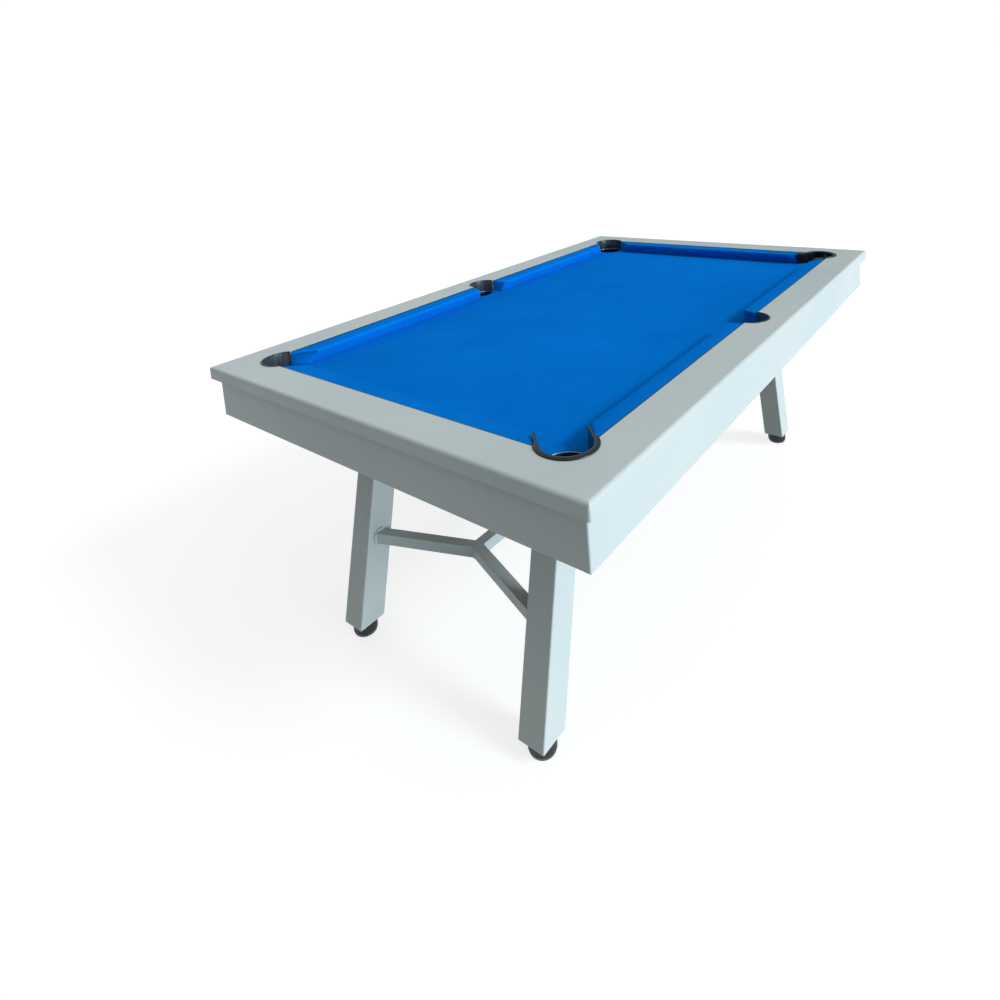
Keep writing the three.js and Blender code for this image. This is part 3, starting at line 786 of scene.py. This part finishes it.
def pocket_lip(name):
    """The raised rubber lip: a crowned flange round the pocket and a rounded horn at each end."""
    rings = []
    for angle, y in lip_path():
        flange = min(1.0, max(0.0, 1 - y / SHOULDER))
        flange = flange * flange * (3 - 2 * flange)  # 1 round the pocket, 0 on a horn
        outer = HORN_OUTER + (LIP_OUTER - HORN_OUTER) * flange
        middle = (LIP_INNER + outer) / 2
        tip = min(1.0, (HORN - y) / TIP)
        fullness = math.sqrt(max(0.0, 1 - (1 - tip) ** 2))
        crown = LIP_TOP - (1 - fullness) * TIP_DROP - HORN_DROP * (1 - flange)
        on_rail = flange > ON_RAIL
        under = RAIL_TOP + 0.3 * MM if on_rail else CLOTH_TOP + 1.4 * MM
        skirt = LIP_INNER + 3.2 * MM if on_rail else outer - 0.3 * MM
        low = CLOTH_TOP + 0.6 * MM
        section = rounded_outline([
            (LIP_INNER, low, 0.2 * MM),
            (skirt, low, 0.2 * MM),
            (skirt, under - 0.25 * MM, 0.02 * MM),
            (outer, under, 0.12 * MM),
            (outer, crown - 2.4 * MM, 1.3 * MM),
            (middle + 1.0 * MM, crown, 5 * MM if flange > BROAD else 2.4 * MM),
            (LIP_INNER + 1.2 * MM, crown - 1.0 * MM, 1.0 * MM),
            (LIP_INNER, crown - 3.2 * MM, 1.4 * MM),
        ], 4)
        width = TIP_WIDTH + (1 - TIP_WIDTH) * fullness
        rings.append(at_angle([(middle + (radius - middle) * width, z) for radius, z in section],
                              angle, y))
    add_at_pocket("rubber_lip_", name, rings, RUBBER, ["pocket_lip_" + name],
                  sharp=50)


for name in SIX:
    lipped = name in ("front_left", "front_right")
    pocket_wall(name)
    if not lipped:
        pocket_rim(name)
    pocket_edge(name)
    if lipped:
        pocket_lip(name)


# ---------------------------------------------------------------- corner seams

SEAM_GAP = 0.15 * MM  # half the width that is filled

# Millimetres, as depth from both edges and height. A seam starts on the upright corner's
# rounding, runs round the rail's or apron's edge, and ends at its inner side.
RAIL_FOOT, RAIL_FOOT_WITHIN = (1.76, 748.05), (4.1, 748.05)
RAIL_ARC = (9, 771, 9)  # depth and height of its centre, and radius
RAIL_ARC_START = 36.4  # degrees, where the upright corner meets it
RAIL_INNER, RAIL_INNER_WITHIN = (98.5, 780), (98.5, 777.7)
RAIL_SKIN = 2.3
APRON_HEAD, APRON_HEAD_WITHIN = (19.8, 747.6), (22.4, 747.6)
APRON_ARC = (22.6, 644, 4)
APRON_ARC_START = 45
APRON_INNER, APRON_INNER_WITHIN = (43, 640), (43, 642.8)
APRON_SKIN = 2.8


def seam_arc(arc, skin, start, steps, way):
    """Pairs of points on an arc and under its skin, from start degrees to 90.

    It turns up with way 1 and down with -1.
    """
    depth, height, radius = arc
    pairs = []
    for k in range(steps + 1):
        angle = math.radians(start + (90 - start) * k / steps)
        pairs.append([(depth - r * math.cos(angle), height + way * r * math.sin(angle))
                      for r in (radius, radius - skin)])
    return pairs


def seam_outlines():
    """Each seam's part, with pairs of a point on the faces and one inside them."""
    rail = [(RAIL_FOOT, RAIL_FOOT_WITHIN),
            *seam_arc(RAIL_ARC, RAIL_SKIN, RAIL_ARC_START, steps=8, way=1),
            (RAIL_INNER, RAIL_INNER_WITHIN)]
    apron = [(APRON_HEAD, APRON_HEAD_WITHIN),
             *seam_arc(APRON_ARC, APRON_SKIN, APRON_ARC_START, steps=4, way=-1),
             (APRON_INNER, APRON_INNER_WITHIN)]
    return ("rail", rail), ("apron", apron)


def corner_seam(corner):
    """Fills the hairline gaps of a corner's two mitres, rail and apron, flush with the faces."""
    sign = Vector(signs(corner))
    tip = Vector((sign.x * LENGTH / 2, sign.y * WIDTH / 2))
    half_gap = Vector((sign.x, -sign.y)).normalized() * SEAM_GAP
    for part, outline in seam_outlines():
        rings = []
        for outside, within in outline:
            ring = []
            for (depth, z), side in ((outside, -1), (outside, 1), (within, 1), (within, -1)):
                plan = tip - sign * depth * MM + half_gap * side
                ring.append(Vector((plan.x, plan.y, z * MM)))
            rings.append(ring)
        vertices, faces = rings_to_mesh(rings)
        add_piece(f"{part}_seam_{corner}", vertices, faces, PAINT)


for corner in CORNERS:
    corner_seam(corner)


# ---------------------------------------------------------------- feet

FOOT_X, FOOT_Y = 810 * MM, 310 * MM
PAD_RADIUS, PAD_HEIGHT = 33 * MM, 32 * MM
SOCKET = 20 * MM  # how deep the stem stands in the pad
RIBS = 40
RIB_DEPTH = 1.5 * MM
RIB_LOW, RIB_HIGH = 10 * MM, 28.5 * MM
RIB_FACE = 1.6 * MM  # only the outermost skin is ribbed
RIB_SHAPE = 1.6  # above 1, it narrows the grooves
SOLE = [(6, 0.0), (4.2, 0.5), (2.6, 1.8), (1.7, 4.0), (1.0, 8.2), (0.1, 9.4)]  # inset and height
GRIP_LEVELS = [10.4 + 1.45 * k for k in range(13)]
DISH = [(0.7, -2.0), (1.8, -0.7), (3.4, 0.0), (7, -0.2), (9, -1.8)]  # inset, and height from top
COLLAR = [(13.5, -2.2), (12.3, -0.4), (9.0, -0.2)]  # radius, and height from top

PAD_SEGMENTS = 240

STEM_RADIUS, STEM_LENGTH = 8 * MM, 98 * MM
STEM_LOW = PAD_HEIGHT - SOCKET + 0.3 * MM
STEM_TOP = STEM_LOW + STEM_LENGTH
CHAMFER = 1.2 * MM
PITCH, THREAD_DEPTH = 2.5 * MM, 1.15 * MM
THREAD_TOP = STEM_LOW + 62 * MM
LEVELS_PER_TURN = 6
STEM_SEGMENTS = 36


def pad_profile(angle):
    """A foot's profile: a plain sole, a grip with ribs, a dished top and the stem's socket."""
    groove = RIB_DEPTH * (0.5 - 0.5 * math.cos(angle * RIBS)) ** RIB_SHAPE
    profile = [(0.0, 0.0)]
    profile += [(PAD_RADIUS - inset * MM, z * MM) for inset, z in SOLE]
    profile += [(PAD_RADIUS, z * MM) for z in GRIP_LEVELS]
    profile += [(PAD_RADIUS - inset * MM, PAD_HEIGHT + z * MM) for inset, z in DISH]
    profile += [(radius * MM, PAD_HEIGHT + z * MM) for radius, z in COLLAR]
    profile += [(STEM_RADIUS + 0.4 * MM, PAD_HEIGHT - 0.9 * MM),
                (STEM_RADIUS + 0.3 * MM, PAD_HEIGHT - SOCKET), (0.0, PAD_HEIGHT - SOCKET)]
    return [(radius - groove if radius >= PAD_RADIUS - RIB_FACE and RIB_LOW < z < RIB_HIGH
             else radius, z) for radius, z in profile]


def stem_profile(angle):
    """A screw stem's profile: chamfered ends, and a thread on the part that shows."""
    thread_low = STEM_LOW + CHAMFER
    count = int((THREAD_TOP - STEM_LOW - 2 * CHAMFER) / PITCH) * LEVELS_PER_TURN
    profile = [(0.0, STEM_LOW), (STEM_RADIUS - CHAMFER, STEM_LOW), (STEM_RADIUS, thread_low)]
    for k in range(1, count):
        z = thread_low + PITCH * k / LEVELS_PER_TURN
        phase = (z / PITCH - angle / (2 * math.pi)) % 1.0
        profile.append((STEM_RADIUS - THREAD_DEPTH * abs(2 * phase - 1), z))
    profile += [(STEM_RADIUS, THREAD_TOP), (STEM_RADIUS, STEM_TOP - CHAMFER),
                (STEM_RADIUS - CHAMFER, STEM_TOP), (0.0, STEM_TOP)]
    return profile


for corner in CORNERS:
    way_x, way_y = signs(corner)
    x, y = way_x * FOOT_X, way_y * FOOT_Y
    vertices, faces = lathe(PAD_SEGMENTS, pad_profile)
    add_piece("ribbed_foot_" + corner, moved(vertices, x, y), faces, RUBBER,
              ["foot_pad_" + corner], "foot_" + corner)
    vertices, faces = lathe(STEM_SEGMENTS, stem_profile)
    add_piece("threaded_stem_" + corner, moved(vertices, x, y), faces, ZINC,
              ["foot_stem_" + corner], "foot_" + corner, sharp=55)


# ---------------------------------------------------------------- floor, light and camera

FLOOR_REACH = 60.0  # metres, like the backdrop's radius
BACKDROP_RADIUS = 45.0


def floor():
    """A flat floor. Diffuse rays pass through it, so it throws no light back at the table."""
    mesh = bpy.data.meshes.new("floor")
    mesh.from_pydata([(x * FLOOR_REACH, y * FLOOR_REACH, 0)
                      for x, y in ((-1, -1), (1, -1), (1, 1), (-1, 1))], [], [(0, 1, 2, 3)])
    mesh.materials.append(studio_floor())
    plane = bpy.data.objects.new("floor", mesh)
    plane.visible_diffuse = False
    bpy.context.scene.collection.objects.link(plane)


def backdrop():
    """A far white wall all round that only the camera sees."""
    mesh = bpy.data.meshes.new("backdrop")
    ball = bmesh.new()
    bmesh.ops.create_icosphere(ball, subdivisions=4, radius=BACKDROP_RADIUS)
    ball.to_mesh(mesh)
    ball.free()
    mesh.materials.append(backdrop_white())
    wall = bpy.data.objects.new("backdrop", mesh)
    for ray in ("diffuse", "glossy", "transmission", "volume_scatter", "shadow"):
        setattr(wall, "visible_" + ray, False)
    bpy.context.scene.collection.objects.link(wall)


def soft_world():
    """Dim all round, brighter overhead, behind, and most of all towards the front side."""
    world = bpy.data.worlds.new("studio")
    bpy.context.scene.world = world
    world.use_nodes = True
    w = Nodes(world.node_tree)
    place = w.node("ShaderNodeTexCoord").outputs["Generated"]
    x, y, z = w.node("ShaderNodeSeparateXYZ", Vector=place).outputs

    front = w.ramp(y, -1.0, 0.1, 0.75, 0.0, "SMOOTHSTEP")
    back = w.ramp(y, 0.1, 1.0, 0.0, 0.34, "SMOOTHSTEP")
    overhead = w.ramp(z, -0.4, 1.0, 0.05, 0.48, "SMOOTHSTEP")
    dimmer_left = w.ramp(x, -0.9, 0.2, 0.5, 1.0, "SMOOTHSTEP")
    total = w.maths("ADD", w.maths("ADD", overhead, front), back)
    upward = w.ramp(z, -0.1, 0.8, 0.0, 1.0, "SMOOTHSTEP")
    background = w.tree.nodes["Background"]
    w.put(w.mix(upward, (0.82, 0.97, 1.0), (1.0, 1.0, 0.96)), background.inputs["Color"])
    w.put(w.maths("MULTIPLY", total, dimmer_left), background.inputs["Strength"])


def sun(name, direction, strength, degrees, colour):
    """A sun that shines from a direction, as wide as its angle in degrees."""
    lamp = bpy.data.lights.new(name, "SUN")
    lamp.energy = strength
    lamp.angle = math.radians(degrees)
    lamp.color = colour
    holder = bpy.data.objects.new(name, lamp)
    holder.rotation_mode = "QUATERNION"
    holder.rotation_quaternion = Vector(direction).to_track_quat("Z", "Y")
    bpy.context.scene.collection.objects.link(holder)


def camera():
    """The photograph's viewpoint: near the left end's front corner, a little above the rails."""
    place = Vector((-1.77073, -1.14934, 1.36604))
    yaw, pitch, roll = 0.67865, 0.12507, -0.07523
    forward = Vector((math.cos(yaw) * math.cos(pitch), math.sin(yaw) * math.cos(pitch),
                      -math.sin(pitch)))
    level = Vector((math.sin(yaw), -math.cos(yaw), 0))
    upright = level.cross(forward)
    right = level * math.cos(roll) + upright * math.sin(roll)
    up = upright * math.cos(roll) - level * math.sin(roll)
    data = bpy.data.cameras.new("camera")
    data.sensor_width = 36
    data.lens = 23.372
    data.shift_x = -0.025
    data.shift_y = -0.293
    data.clip_start = 0.05
    holder = bpy.data.objects.new("camera", data)
    holder.matrix_world = Matrix((
        (right.x, up.x, -forward.x, place.x),
        (right.y, up.y, -forward.y, place.y),
        (right.z, up.z, -forward.z, place.z),
        (0, 0, 0, 1),
    ))
    bpy.context.scene.collection.objects.link(holder)
    bpy.context.scene.camera = holder


floor()
backdrop()
soft_world()
sun("key", (0.22, -0.9, 0.64), 1.9, 16, (0.84, 0.94, 1.0))
sun("low_fill", (-0.03, -1.0, 0.02), 2.6, 30, (0.70, 0.87, 1.0))
camera()
bpy.context.scene.view_settings.view_transform = "Standard"
